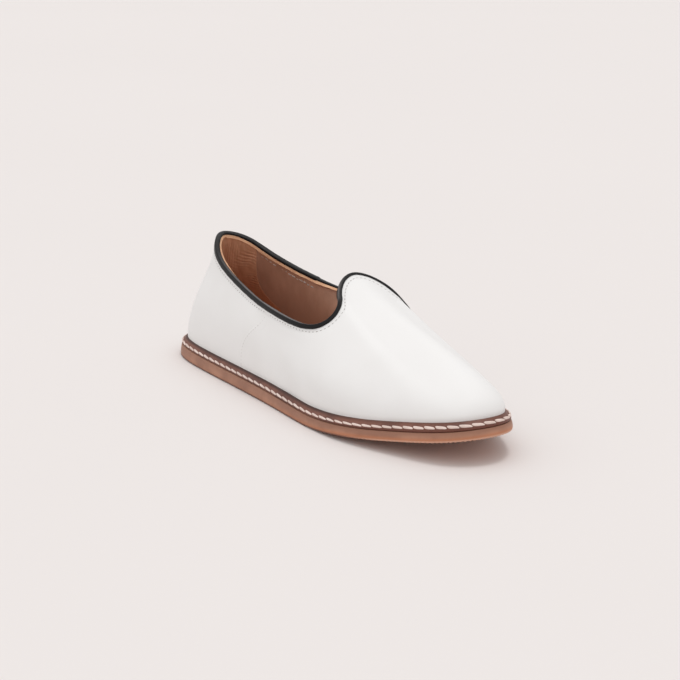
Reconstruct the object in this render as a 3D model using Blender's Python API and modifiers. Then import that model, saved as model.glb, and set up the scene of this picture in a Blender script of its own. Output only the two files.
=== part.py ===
"""Flat slip-on shoe for the right foot.

Five pieces stand on one floor plane: a rubber outsole, a leather welt, a hollow upper drawn over the last, a
binding folded over its collar, and an insole. The model is in metres, with +X to the toe, +Y to the wearer's
left (the medial side) and +Z up. The origin is on the floor, under the middle of the outsole.

A place on the shoe is given by t and h. t runs round the shoe: 0 at the back of the heel, along the lateral
side to the toe's tip, and back along the medial side. It is a whole number at each section of the last.
h runs up the upper: 0 at the welt, 1 at the collar.
"""

import math
from collections import namedtuple

import bmesh
import bpy
import numpy as np

MM = 0.001  # the sizes below are in millimetres

# Driving sizes
LENGTH = 262.0  # outsole, heel to toe
WALL = 1.8  # upper and its lining together
GAP = 0.3  # clearance between neighbouring pieces
TOE_SHIFT = 4.0  # the toe's tip lies this far to the medial side

# Sole
TOE_SPRING = 14.4  # lift of the sole at the toe's tip
SPRING_FROM = 0.60  # share of the length where the lift begins
SPRING_POWER = 1.5
ARCH_LIFT = 1.5  # hollow under the medial edge of the waist
ARCH_FROM = 0.28
ARCH_TO = 0.49
FEATHER_INSET = 4.2  # from the sole's outline to the upper, where it meets the welt
INSOLE_INSET = FEATHER_INSET + WALL + 1.5 * GAP

# Side seam, where the vamp laps over the quarter
SEAM_FOOT = 3.07  # t at the welt
SEAM_LEAN = 0.63  # how far t grows from the welt to the collar
SEAM_CURVE = 1.7
SEAM_REACH = 2.6  # ribs this near in t lean with the seam
SEAM_HALF = 0.006  # half the width of the step, in t
LAP = 0.4  # height of the step

# Collar binding
BINDING = 0.6  # thickness of the strip
OUTER_LEG = 2.0
INNER_LEG = 0.9
FOLD_GAP = 0.45  # clearance inside the fold, where the wall's edge is uneven
OUTER_FACE = GAP + BINDING  # measured out from the wall's outside
INNER_FACE = -WALL - FOLD_GAP - BINDING
CROWN = FOLD_GAP + BINDING  # top of the fold above the wall's edge

# Facets
SHARP_ANGLE = 35  # degrees; flatter edges are shaded smooth
QUARTER_RIBS = 15
VAMP_RIBS = 29
LAP_TOP = 0.90  # h where the seam's step ends, just below the binding
ROWS = (*np.linspace(0, LAP_TOP, 13), 0.945, 1.0)  # h of the upper's rows

# Sections of the last, heel to toe. lateral and medial are half widths of the sole. top_x, top_half and
# top_z place the collar: station from the heel, half width and height. A rib leaves the welt flare degrees
# outside the vertical, with a handle of length rise, and comes to the collar fall degrees steep, with a
# handle of length reach.
Section = namedtuple("Section", "name lateral medial top_x top_half top_z flare rise fall reach")
LAST = (
    Section("heel_back", 0.0, 0.0, 21.8, 0.0, 71.6, 1.5, 21.5, 70.0, 30.0),
    Section("heel_corner", 22.5, 22.5, 29.8, 11.3, 68.7, -1.0, 21.0, 75.5, 28.5),
    Section("rear_quarter", 31.0, 30.0, 47.4, 19.9, 60.1, 3.5, 19.5, 69.5, 21.0),
    Section("mid_quarter", 34.0, 32.0, 84.5, 27.8, 51.3, 6.8, 20.2, 68.6, 17.4),
    Section("waist", 38.0, 35.0, 117.7, 33.2, 47.6, 7.7, 19.3, 62.3, 20.0),
    Section("ball", 41.0, 45.5, 147.5, 31.9, 47.3, 6.9, 18.2, 47.0, 23.0),
    Section("toe_side", 30.5, 36.5, 154.7, 21.9, 56.8, 5.3, 14.1, 32.0, 29.3),
    Section("toe_corner", 17.5, 22.0, 147.2, 15.0, 65.3, 2.6, 16.6, 35.0, 49.7),
    Section("toe_tip", 0.0, 0.0, 140.2, 0.0, 71.0, 2.5, 20.7, 24.0, 54.2),
)
TOE = len(LAST) - 1  # t at the toe's tip
FULL = 2 * TOE  # t once round

# The collar's middle line drifts to the medial side, and its lateral edge is a little higher.
COLLAR_SHIFT_HEEL = 0.94
COLLAR_SHIFT_TONGUE = 5.42
COLLAR_TILT = 2.0

# Heights of the sole along its length: station as a share of the length, outsole, and welt above it.
Level = namedtuple("Level", "share outsole welt")
LEVELS = (
    Level(0.10, 6.9, 4.0),
    Level(0.45, 6.6, 4.2),
    Level(0.78, 5.35, 4.3),
    Level(1.00, 5.3, 4.5),
)

# Cross-sections of the sole's pieces: inset from the outline, share of the piece's height, and extra height.
Corner = namedtuple("Corner", "inset share extra")
OUTSOLE_SECTION = (
    Corner(1.2, 0.0, 0.0),
    Corner(0.2, 0.0, 0.7),
    Corner(0.0, 0.0, 1.6),
    Corner(0.7, 1.0, -0.6),
    Corner(1.2, 1.0, 0.0),
)
WELT_SECTION = (
    Corner(1.4, 0.0, GAP),
    Corner(0.9, 0.2, 0.0),
    Corner(1.0, 0.4, 0.0),
    Corner(1.6, 0.56, 0.0),
    Corner(2.8, 0.78, 0.0),
    Corner(3.5, 0.95, 0.0),
    Corner(FEATHER_INSET - GAP, 0.97, 0.0),
    Corner(FEATHER_INSET - GAP, 0.0, GAP),
)
INSOLE_SECTION = (
    Corner(INSOLE_INSET + 0.5, 0.0, GAP),
    Corner(INSOLE_INSET, 0.0, GAP + 0.5),
    Corner(INSOLE_INSET, 0.0, GAP + 1.9),
    Corner(INSOLE_INSET + 0.8, 0.0, GAP + 2.4),
)

# Cross-section of the binding: distance outside the wall's outer face, and above the wall's edge.
Hook = namedtuple("Hook", "outside above")
BINDING_SECTION = (
    Hook(GAP, -OUTER_LEG),
    Hook(OUTER_FACE - 0.3, -OUTER_LEG - 0.1),
    Hook(OUTER_FACE, -OUTER_LEG + 0.5),
    Hook(OUTER_FACE, 0.0),
    Hook(OUTER_FACE - 0.6, CROWN - 0.2),
    Hook(-WALL / 2, CROWN),
    Hook(INNER_FACE + 0.6, CROWN - 0.2),
    Hook(INNER_FACE, 0.0),
    Hook(INNER_FACE, -INNER_LEG),
    Hook(-WALL - FOLD_GAP, -INNER_LEG),
    Hook(-WALL - FOLD_GAP, FOLD_GAP),
    Hook(GAP, FOLD_GAP),
)

# Colours: red, green and blue as light, then roughness.
Finish = namedtuple("Finish", "colour roughness")
FINISHES = {
    "outsole": Finish((0.33, 0.16, 0.085), 0.55),
    "welt": Finish((0.095, 0.045, 0.032), 0.50),
    "upper": Finish((0.80, 0.78, 0.77), 0.38),
    "binding": Finish((0.012, 0.012, 0.013), 0.42),
    "insole": Finish((0.20, 0.095, 0.055), 0.60),
}


def column(name):
    """One column of the last's table, heel to toe."""
    return [getattr(section, name) for section in LAST]


def closed_spline(values, t):
    """Smooth closed curve that passes through values[k] at t = k."""
    count = len(values)
    ring = np.roll(np.eye(count), 1, axis=1)
    control = np.linalg.solve(4 * np.eye(count) + ring + ring.T, 6 * np.array(values))
    knot = np.floor(t).astype(int)
    s = t - knot
    weights = ((1 - s) ** 3, 3 * s**3 - 6 * s**2 + 4, 1 + 3 * s + 3 * s**2 - 3 * s**3, s**3)
    return sum(w * control[(knot - 1 + k) % count] for k, w in enumerate(weights)) / 6


def both_sides(name, t, lateral_sign=1):
    """A column read round the shoe; lateral_sign -1 makes the lateral side negative."""
    values = column(name)
    return closed_spline([lateral_sign * value for value in values] + values[-2:0:-1], t)


def unit(vectors):
    """The vectors at length 1."""
    return vectors / np.linalg.norm(vectors, axis=-1, keepdims=True)


def outline(t):
    """Plan of the sole: station from the heel, and y."""
    lateral = [-width for width in column("lateral")]
    lateral[TOE] = TOE_SHIFT
    y = closed_spline(lateral + column("medial")[-2:0:-1], t)
    return np.stack([LENGTH / 2 * (1 - np.cos(math.pi * t / TOE)), y], axis=-1)


def inward(t, step=0.01):
    """Direction in plan that points into the shoe, square to the outline."""
    along = outline(t + step) - outline(t - step)
    return unit(np.stack([-along[..., 1], along[..., 0]], axis=-1))


def toe_lift(station):
    """Rise of the sole towards the toe."""
    share = np.clip((station / LENGTH - SPRING_FROM) / (1 - SPRING_FROM), 0, None)
    return TOE_SPRING * share**SPRING_POWER


def level(name, station):
    """Height of a layer of the sole at a station."""
    return np.interp(station / LENGTH, [row.share for row in LEVELS], [getattr(row, name) for row in LEVELS])


def arch(plan):
    """Hollow of the underside: none at the lateral edge, full at the medial edge of the waist."""
    share = np.clip((plan[..., 0] / LENGTH - ARCH_FROM) / (ARCH_TO - ARCH_FROM), 0, 1)
    across = np.clip(plan[..., 1] / max(column("medial")), 0, 1)
    return ARCH_LIFT * np.sin(math.pi * share) ** 2 * across


def sole_ring(t, corner, layer):
    """One corner of a cross-section, carried round the sole. The outsole's layer starts at the floor."""
    plan = outline(t) + inward(t) * corner.inset
    station = plan[..., 0]
    z = toe_lift(station) + corner.share * level(layer, station) + corner.extra
    if layer != "outsole":
        z += level("outsole", station)
    elif corner.share == 0:
        z += arch(plan)
    return np.concatenate([plan, z[..., None]], axis=-1)


def collar(t):
    """The upper's top edge."""
    station = both_sides("top_x", t)
    drift = (station - LAST[0].top_x) / (LAST[TOE].top_x - LAST[0].top_x)
    shift = COLLAR_SHIFT_HEEL + (COLLAR_SHIFT_TONGUE - COLLAR_SHIFT_HEEL) * drift
    tilt = COLLAR_TILT * np.sin(math.pi * t / TOE)
    y = both_sides("top_half", t, lateral_sign=-1) + shift
    return np.stack([station, y, both_sides("top_z", t) + tilt], axis=-1)


def feather(t):
    """The line where the upper comes out of the welt."""
    return sole_ring(t, Corner(FEATHER_INSET, 1.0, 0.0), "welt")


def last_surface(t, h):
    """Outside of the upper, without its seams: a rib from the welt to the collar is one cubic curve."""
    foot, top = feather(t), collar(t)
    up = np.array([0.0, 0.0, 1.0])
    outward = np.concatenate([-inward(t), np.zeros_like(t)[..., None]], axis=-1)
    flare = np.radians(both_sides("flare", t))[..., None]
    fall = np.radians(both_sides("fall", t))[..., None]
    down_slope = unit((foot - top) * (1 - up)) * np.cos(fall) - up * np.sin(fall)
    low = foot + both_sides("rise", t)[..., None] * (up * np.cos(flare) + outward * np.sin(flare))
    high = top + both_sides("reach", t)[..., None] * down_slope
    h = h[..., None]
    return (1 - h) ** 3 * foot + 3 * h * (1 - h) ** 2 * low + 3 * h**2 * (1 - h) * high + h**3 * top


def outward_normal(t, h, step=0.01):
    """Direction square to the surface, out of the shoe."""
    along = last_surface(t + step, h) - last_surface(t - step, h)
    rising = last_surface(t, h + step) - last_surface(t, h - step)
    return unit(np.cross(along, rising))


def rib_places():
    """t of each rib at the welt, once round, with a close pair of ribs at each side seam."""
    quarter = np.linspace(0, SEAM_FOOT - SEAM_HALF, QUARTER_RIBS + 1)
    vamp = np.linspace(SEAM_FOOT + SEAM_HALF, TOE, VAMP_RIBS + 1)
    lateral = np.concatenate([quarter, vamp])
    return np.concatenate([lateral, FULL - lateral[-2:0:-1]])


def lean(ribs, h):
    """t of the ribs at height h: near the side seams they lean forward with the seam."""
    side = np.where(ribs > TOE, -1, 1)
    from_seam = np.where(ribs > TOE, FULL - ribs, ribs) - SEAM_FOOT
    near = np.cos(math.pi / 2 * np.clip(from_seam / SEAM_REACH, -1, 1)) ** 2
    return ribs + side * near * SEAM_LEAN * h**SEAM_CURVE


def on_vamp(ribs):
    """1 for the ribs in front of the side seams, 0 behind them."""
    return (np.abs(ribs - TOE) < TOE - SEAM_FOOT).astype(float)


def upper_rings(ribs):
    """The upper's outside, from its hidden lower edge behind the welt to the collar."""
    rings = [sole_ring(ribs, Corner(FEATHER_INSET, 0.0, GAP), "welt")]
    for row in ROWS:
        h = np.full_like(ribs, row)
        t = lean(ribs, h)
        raised = LAP * on_vamp(ribs) * (0 < row <= LAP_TOP)
        rings.append(last_surface(t, h) + raised[:, None] * outward_normal(t, h))
    return rings


def binding_rings(below, edge):
    """Hook-shaped section round the upper's top edge, square to it: an outer leg, a rounded top and a short
    inner leg. below is the upper's ring under the edge."""
    along = unit(np.roll(edge, -1, axis=0) - np.roll(edge, 1, axis=0))
    out = unit(np.cross(along, edge - below))
    rising = np.cross(out, along)
    return [edge + corner.outside * out + corner.above * rising for corner in BINDING_SECTION]


def section_rings(ribs, section, layer):
    """All corners of one of the sole's cross-sections, carried round."""
    return [sole_ring(ribs, corner, layer) for corner in section]


def loft(name, rings, collection, closed_section=False, capped=False):
    """Skin a stack of rings as one named object. A closed section joins its last ring to its first; caps
    fill the first and last ring with strips that run across the shoe."""
    count = len(rings[0])
    mesh_builder = bmesh.new()
    grid = [[mesh_builder.verts.new(point * MM) for point in ring - CENTRE] for ring in rings]
    pairs = list(zip(grid, grid[1:]))
    if closed_section:
        pairs.append((grid[-1], grid[0]))
    for below, above in pairs:
        for i in range(count):
            k = (i + 1) % count
            mesh_builder.faces.new((below[i], below[k], above[k], above[i]))
    if capped:
        for ring in (grid[0], grid[-1]):
            for i in range(count // 2):
                strip = (ring[i], ring[i + 1], ring[count - i - 1], ring[-i])
                mesh_builder.faces.new(dict.fromkeys(strip))
    if closed_section or capped:
        bmesh.ops.recalc_face_normals(mesh_builder, faces=mesh_builder.faces)
    mesh = bpy.data.meshes.new(name)
    mesh_builder.to_mesh(mesh)
    mesh_builder.free()
    piece = bpy.data.objects.new(name, mesh)
    collection.objects.link(piece)
    mesh.shade_smooth()
    mesh.set_sharp_from_angle(angle=math.radians(SHARP_ANGLE))
    mesh.materials.append(leather_or_rubber(name))
    return piece


def leather_or_rubber(name):
    """Plain material in the piece's colour."""
    finish = FINISHES[name]
    material = bpy.data.materials.new(name)
    material.use_nodes = True
    shader = material.node_tree.nodes["Principled BSDF"]
    shader.inputs["Base Color"].default_value = (*finish.colour, 1.0)
    shader.inputs["Roughness"].default_value = finish.roughness
    shader.inputs["Metallic"].default_value = 0.0
    return material


def thicken_inward(piece):
    """Give an open surface the upper's wall, on its inner side."""
    wall = piece.modifiers.new("wall", "SOLIDIFY")
    wall.thickness = WALL * MM
    wall.offset = -1.0
    wall.use_even_offset = True
    wall.use_rim = True


def outline_centre():
    """Middle of the outsole's box in plan, on the floor."""
    plan = outline(rib_places())
    return np.append((plan.min(axis=0) + plan.max(axis=0)) / 2, 0.0)


for old in list(bpy.data.objects):
    bpy.data.objects.remove(old, do_unlink=True)

shoe = bpy.data.collections.new("slip_on_shoe")
bpy.context.scene.collection.children.link(shoe)

CENTRE = outline_centre()
RIBS = rib_places()
UPPER_RINGS = upper_rings(RIBS)
loft("outsole", section_rings(RIBS, OUTSOLE_SECTION, "outsole"), shoe, capped=True)
loft("welt", section_rings(RIBS, WELT_SECTION, "welt"), shoe, closed_section=True)
loft("insole", section_rings(RIBS, INSOLE_SECTION, "welt"), shoe, capped=True)
thicken_inward(loft("upper", UPPER_RINGS, shoe))
loft("binding", binding_rings(UPPER_RINGS[-2], UPPER_RINGS[-1]), shoe, closed_section=True)
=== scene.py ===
"""Looks of a flat slip-on shoe for the right foot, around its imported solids.

The shoe stands on the floor with +X to the toe, +Y to the medial side and +Z up. Sizes are in millimetres
until a mesh is made, and stations run from the heel. A place on the shoe is t and h: t goes once round, 0 at
the back of the heel and 8 at the toe's tip, the lateral side first, and h goes up the upper, 0 at the welt
and 1 at the collar.
"""

import logging
import math
from collections.abc import Callable, Sequence
from dataclasses import dataclass, field
from enum import Enum
from functools import partial
from typing import Any, NamedTuple

import bmesh
import bpy
import numpy as np
from mathutils import Matrix, Vector


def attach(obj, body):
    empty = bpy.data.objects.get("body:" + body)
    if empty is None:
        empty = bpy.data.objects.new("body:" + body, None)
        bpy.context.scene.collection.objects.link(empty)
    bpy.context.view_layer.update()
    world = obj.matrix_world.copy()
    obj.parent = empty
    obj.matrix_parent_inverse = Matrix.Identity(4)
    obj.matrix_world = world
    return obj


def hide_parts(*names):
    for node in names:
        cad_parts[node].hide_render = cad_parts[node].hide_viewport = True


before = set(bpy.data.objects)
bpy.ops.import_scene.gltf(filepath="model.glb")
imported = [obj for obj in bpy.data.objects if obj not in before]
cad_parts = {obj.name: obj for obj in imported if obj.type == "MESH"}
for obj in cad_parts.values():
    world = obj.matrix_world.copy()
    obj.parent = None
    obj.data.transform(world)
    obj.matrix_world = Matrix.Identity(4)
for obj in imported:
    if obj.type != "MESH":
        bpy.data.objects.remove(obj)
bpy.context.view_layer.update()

log = logging.getLogger("slip_on_shoe")

Array = np.ndarray
Line = Callable[[Array], Array]
Face = Callable[[Array, Array], Array]
Triple = tuple[float, float, float]
Colour = tuple[float, float, float, float]
Pair = tuple[float, float]

MM = 0.001  # one millimetre in the frame's metres
TURN = 2 * math.pi
UP = np.array([0.0, 0.0, 1.0])
WELD = 1e-7  # points nearer than this, in metres, become one
SHARP = math.radians(50)  # edges flatter than this are shaded smooth
TOE = 8.0  # t at the toe's tip
ROUND = 16.0  # t once round
NUDGE = 0.01  # step in t or h for reading a direction
NEAR_TOP = 0.985  # h just under the collar, where the wall's direction is read
SEAM_SCALE = 49.0  # millimetres round the shoe for a step of 1 in t, at the side seams
SEAM_ROW = 1.5  # from the vamp's edge to the stitches of a side seam
COLLAR_ROW = 3.9  # from the collar's edge down to its stitches


class Solid(Enum):
    """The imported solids, by name."""

    OUTSOLE = "outsole"
    WELT = "welt"
    UPPER = "upper"
    BINDING = "binding"
    INSOLE = "insole"


def unit(vectors: Array) -> Array:
    """The vectors at length 1."""
    return vectors / np.linalg.norm(vectors, axis=-1, keepdims=True)


def smooth_step(low: float, high: float, value: Array) -> Array:
    """0 at low, 1 at high and an S-curve between them; low may be the larger."""
    share = np.clip((value - low) / (high - low), 0.0, 1.0)
    return share * share * (3.0 - 2.0 * share)


def arc_length(points: Array) -> Array:
    """Length along a row of points, from the first one."""
    return np.append(0.0, np.cumsum(np.linalg.norm(np.diff(points, axis=0), axis=-1)))


def even_places(line: Line, start: float, stop: float, count: int) -> Array:
    """Values of t that cut a line into equal lengths.

    Args:
        line: gives the points of the line at an array of t.
        start: t at its beginning.
        stop: t at its end.
        count: how many values to return.

    Returns:
        The values, with both ends among them.
    """
    fine = np.linspace(start, stop, 4001)
    arc = arc_length(line(fine))
    return np.interp(np.linspace(0.0, arc[-1], count), arc, fine)


class Stretch(NamedTuple):
    """A stretch with soft ends: it grows from start to full, and fades from fade to stop."""

    start: float
    full: float
    fade: float
    stop: float
    height: float = 1.0

    def at(self, value: Array) -> Array:
        """The height in the stretch, and 0 outside it."""
        grown = smooth_step(self.start, self.full, value)
        return self.height * grown * smooth_step(self.stop, self.fade, value)


class Swell(NamedTuple):
    """A soft swelling round a centre."""

    height: float
    centre: float
    width: float

    def at(self, value: Array) -> Array:
        """Its height at the values."""
        return self.height * np.exp(-(((value - self.centre) / self.width) ** 2))


class Wave(NamedTuple):
    """A small wave along a closed strip."""

    height: float
    count: int
    phase: float = 0.0


def rippled(waves: Sequence[Wave], columns: int) -> Array:
    """The waves together, at each column of a closed strip."""
    place = TURN * np.arange(columns) / columns
    return sum(wave.height * np.sin(wave.count * place + wave.phase) for wave in waves)


class Section(NamedTuple):
    """One section of the last: half widths of the sole, place of the collar, and the rib between them."""

    name: str
    lateral: float
    medial: float
    top_x: float
    top_half: float
    top_z: float
    flare: float
    rise: float
    fall: float
    reach: float


class Level(NamedTuple):
    """Heights of the sole's layers at a share of its length."""

    share: float
    outsole: float
    welt: float


class Corner(NamedTuple):
    """A corner of a sole layer's cross-section: inset, share of the layer's height and extra height."""

    inset: float
    share: float
    extra: float


@dataclass(frozen=True)
class Last:
    """The form that the shoe is drawn over, and the sole's outline and heights."""

    length: float = 262.0
    toe_shift: float = 4.0
    toe_spring: float = 14.4
    spring_from: float = 0.60
    spring_power: float = 1.5
    arch_lift: float = 1.5
    arch_from: float = 0.28
    arch_to: float = 0.49
    feather: Corner = Corner(4.2, 1.0, 0.0)  # where the upper comes out of the welt
    seam_foot: float = 3.07
    seam_lean: float = 0.63
    seam_curve: float = 1.7
    seam_reach: float = 2.6
    collar_shift_heel: float = 0.94
    collar_shift_tongue: float = 5.42
    collar_tilt: float = 2.0
    sections: tuple[Section, ...] = (
        Section("heel_back", 0.0, 0.0, 21.8, 0.0, 71.6, 1.5, 21.5, 70.0, 30.0),
        Section("heel_corner", 22.5, 22.5, 29.8, 11.3, 68.7, -1.0, 21.0, 75.5, 28.5),
        Section("rear_quarter", 31.0, 30.0, 47.4, 19.9, 60.1, 3.5, 19.5, 69.5, 21.0),
        Section("mid_quarter", 34.0, 32.0, 84.5, 27.8, 51.3, 6.8, 20.2, 68.6, 17.4),
        Section("waist", 38.0, 35.0, 117.7, 33.2, 47.6, 7.7, 19.3, 62.3, 20.0),
        Section("ball", 41.0, 45.5, 147.5, 31.9, 47.3, 6.9, 18.2, 47.0, 23.0),
        Section("toe_side", 30.5, 36.5, 154.7, 21.9, 56.8, 5.3, 14.1, 32.0, 29.3),
        Section("toe_corner", 17.5, 22.0, 147.2, 15.0, 65.3, 2.6, 16.6, 35.0, 49.7),
        Section("toe_tip", 0.0, 0.0, 140.2, 0.0, 71.0, 2.5, 20.7, 24.0, 54.2),
    )
    levels: tuple[Level, ...] = (
        Level(0.10, 6.9, 4.0),
        Level(0.45, 6.6, 4.2),
        Level(0.78, 5.35, 4.3),
        Level(1.00, 5.3, 4.5),
    )

    def column(self, name: str) -> list[float]:
        """One column of the sections, heel to toe."""
        return [getattr(section, name) for section in self.sections]

    @staticmethod
    def closed_spline(values: Sequence[float], t: Array) -> Array:
        """Smooth closed curve that passes through values[k] at t = k.

        Args:
            values: one value for each whole t.
            t: where to read the curve.

        Returns:
            The curve's values at t.
        """
        count = len(values)
        ring = np.roll(np.eye(count), 1, axis=1)
        control = np.linalg.solve(4 * np.eye(count) + ring + ring.T, 6 * np.array(values))
        knot = np.floor(t).astype(int)
        s = t - knot
        weights = ((1 - s) ** 3, 3 * s**3 - 6 * s**2 + 4, 1 + 3 * s + 3 * s**2 - 3 * s**3, s**3)
        return sum(w * control[(knot - 1 + k) % count] for k, w in enumerate(weights)) / 6

    def read(self, name: str, t: Array, lateral_sign: int = 1) -> Array:
        """A column read round the shoe; lateral_sign -1 makes the lateral side negative."""
        values = self.column(name)
        return self.closed_spline([lateral_sign * value for value in values] + values[-2:0:-1], t)

    def outline(self, t: Array) -> Array:
        """Plan of the sole: station from the heel, and y."""
        lateral = [-width for width in self.column("lateral")]
        lateral[-1] = self.toe_shift
        y = self.closed_spline(lateral + self.column("medial")[-2:0:-1], t)
        return np.stack([self.length / 2 * (1 - np.cos(math.pi * t / TOE)), y], axis=-1)

    def even_ring(self, columns: int) -> Array:
        """t once round the sole, with equal steps along each side; columns counts one side."""
        half = even_places(self.outline, 0.0, TOE, columns + 1)
        return np.concatenate([half, ROUND - half[-2:0:-1]])

    def inward(self, t: Array) -> Array:
        """Direction in plan that points into the shoe, square to the outline."""
        along = self.outline(t + NUDGE) - self.outline(t - NUDGE)
        return unit(np.stack([-along[..., 1], along[..., 0]], axis=-1))

    def outward(self, t: Array) -> Array:
        """Level direction out of the shoe, square to the outline."""
        return np.concatenate([-self.inward(t), np.zeros_like(t)[..., None]], axis=-1)

    def lift(self, station: Array) -> Array:
        """Rise of the sole towards the toe."""
        share = np.clip((station / self.length - self.spring_from) / (1 - self.spring_from), 0, None)
        return self.toe_spring * share**self.spring_power

    def level(self, layer: Solid, station: Array) -> Array:
        """Height of a layer of the sole at a station."""
        heights = [getattr(row, layer.value) for row in self.levels]
        return np.interp(station / self.length, [row.share for row in self.levels], heights)

    def arch(self, plan: Array) -> Array:
        """Hollow of the underside: none at the lateral edge, full at the medial edge of the waist."""
        share = np.clip((plan[..., 0] / self.length - self.arch_from) / (self.arch_to - self.arch_from), 0, 1)
        medial = np.clip(plan[..., 1] / max(self.column("medial")), 0, 1)
        return self.arch_lift * np.sin(math.pi * share) ** 2 * medial

    def sole_point(self, t: Array, corner: Corner, layer: Solid) -> Array:
        """One corner of a cross-section, carried round the sole.

        Args:
            t: places round the shoe.
            corner: the corner of the cross-section.
            layer: the outsole, which starts at the floor, or the welt on top of it.

        Returns:
            The points.
        """
        plan = self.outline(t) + self.inward(t) * corner.inset
        station = plan[..., 0]
        z = self.lift(station) + corner.share * self.level(layer, station) + corner.extra
        if layer is Solid.WELT:
            z = z + self.level(Solid.OUTSOLE, station)
        else:
            z = z + (1 - corner.share) * self.arch(plan)
        return np.concatenate([plan, z[..., None]], axis=-1)

    def collar(self, t: Array) -> Array:
        """The upper's top edge, which drifts to the medial side and is higher on the lateral side.

        Args:
            t: places round the shoe.

        Returns:
            The points.
        """
        station = self.read("top_x", t)
        heel, tongue = self.sections[0].top_x, self.sections[-1].top_x
        drift = (station - heel) / (tongue - heel)
        shift = self.collar_shift_heel + (self.collar_shift_tongue - self.collar_shift_heel) * drift
        tilt = self.collar_tilt * np.sin(math.pi * t / TOE)
        y = self.read("top_half", t, lateral_sign=-1) + shift
        return np.stack([station, y, self.read("top_z", t) + tilt], axis=-1)

    def surface(self, t: Array, h: Array) -> Array:
        """Outside of the upper: a rib from the welt to the collar is one cubic curve.

        Args:
            t: places round the shoe.
            h: heights on the upper.

        Returns:
            The points.
        """
        foot = self.sole_point(t, self.feather, Solid.WELT)
        top = self.collar(t)
        flare = np.radians(self.read("flare", t))[..., None]
        fall = np.radians(self.read("fall", t))[..., None]
        down_slope = unit((foot - top) * (1 - UP)) * np.cos(fall) - UP * np.sin(fall)
        low = foot + self.read("rise", t)[..., None] * (UP * np.cos(flare) + self.outward(t) * np.sin(flare))
        high = top + self.read("reach", t)[..., None] * down_slope
        h = h[..., None]
        return (1 - h) ** 3 * foot + 3 * h * (1 - h) ** 2 * low + 3 * h**2 * (1 - h) * high + h**3 * top

    def normal(self, t: Array, h: Array) -> Array:
        """Direction square to the upper, out of the shoe."""
        along = self.surface(t + NUDGE, h) - self.surface(t - NUDGE, h)
        rising = self.surface(t, h + NUDGE) - self.surface(t, h - NUDGE)
        return unit(np.cross(along, rising))

    def past_seam(self, ribs: Array) -> Array:
        """How far in t a rib's foot is in front of the side seam on its own side; behind it is negative."""
        return np.arccos(np.cos(math.pi * ribs / TOE)) * TOE / math.pi - self.seam_foot

    def lean(self, ribs: Array, h: Array) -> Array:
        """t of the ribs at height h: near the side seams they lean forward with the seam."""
        near = np.cos(math.pi / 2 * np.clip(self.past_seam(ribs) / self.seam_reach, -1, 1)) ** 2
        return ribs + np.sign(np.sin(math.pi * ribs / TOE)) * near * self.seam_lean * h**self.seam_curve

    def height_below_collar(self, t: Array, distance: Array) -> Array:
        """h of the places that lie a distance below the collar, measured on the surface.

        Args:
            t: places round the shoe.
            distance: millimetres below the collar at each of them.

        Returns:
            h at each place.
        """
        fine = np.linspace(1.0, 0.7, 61)
        result = np.empty_like(t)
        for i, place in enumerate(t):
            arc = arc_length(self.surface(np.full_like(fine, place), fine))
            result[i] = np.interp(distance[i], arc, fine)
        return result

    def middle(self) -> Array:
        """The frame's origin: on the floor, under the middle of the outsole's box."""
        plan = self.outline(np.linspace(0.0, ROUND, 2001))
        return np.append((plan.min(axis=0) + plan.max(axis=0)) / 2, 0.0)


LAST = Last()


@dataclass
class Skin:
    """Grids of points in millimetres, welded into one closed mesh."""

    name: str
    points: list[Array] = field(default_factory=list)
    faces: list[Array] = field(default_factory=list)
    measures: dict[str, list[Array]] = field(default_factory=dict)
    count: int = 0

    def add(
        self,
        grid: Array,
        rows_close: bool = False,
        columns_close: bool = False,
        end_caps: bool = False,
        **measures: Array,
    ) -> None:
        """Add a grid of faces.

        Args:
            grid: points, rows by columns.
            rows_close: the last row joins the first.
            columns_close: the last column joins the first.
            end_caps: close the first and last column, whose points are then one loop.
            measures: values for the shader at each point, rows by columns.
        """
        rows, columns = grid.shape[:2]
        index = np.arange(rows * columns).reshape(rows, columns) + self.count
        if end_caps:
            half = rows // 2
            for loop in (index[:, 0], index[:, -1]):
                near, far = loop[:half], loop[: half - 1 : -1][:half]
                self.faces.append(np.stack([near[:-1], near[1:], far[1:], far[:-1]], axis=-1))
        if rows_close:
            index = np.vstack([index, index[:1]])
        if columns_close:
            index = np.hstack([index, index[:, :1]])
        quads = (index[:-1, :-1], index[:-1, 1:], index[1:, 1:], index[1:, :-1])
        self.faces.append(np.stack(quads, axis=-1).reshape(-1, 4))
        self.points.append(grid.reshape(-1, 3))
        for name, values in measures.items():
            self.measures.setdefault(name, []).append(np.broadcast_to(values, (rows, columns)).ravel())
        self.count += rows * columns

    def build(self, material: bpy.types.Material, solid: Solid, replaces: bool = True) -> None:
        """Make the piece in the frame's metres and tie it to the frame.

        Args:
            material: the finish of the whole piece.
            solid: the imported solid that it stands for, which it hides when it replaces it.
            replaces: whether it stands for that solid.
        """
        mesh = bpy.data.meshes.new(self.name)
        points = (np.concatenate(self.points) - LAST.middle()) * MM
        mesh.from_pydata(points, [], np.concatenate(self.faces))
        for name, values in self.measures.items():
            mesh.attributes.new(name, "FLOAT", "POINT").data.foreach_set("value", np.concatenate(values))
        builder = bmesh.new()
        builder.from_mesh(mesh)
        bmesh.ops.remove_doubles(builder, verts=builder.verts, dist=WELD)
        bmesh.ops.recalc_face_normals(builder, faces=builder.faces)
        builder.to_mesh(mesh)
        builder.free()
        mesh.shade_smooth()
        mesh.set_sharp_from_angle(angle=SHARP)
        mesh.materials.append(material)
        piece = bpy.data.objects.new(self.name, mesh)
        bpy.context.scene.collection.objects.link(piece)
        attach(piece, "root")
        if replaces:
            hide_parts(solid.value)
        log.info("%s: %d faces", piece.name, len(mesh.polygons))


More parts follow.
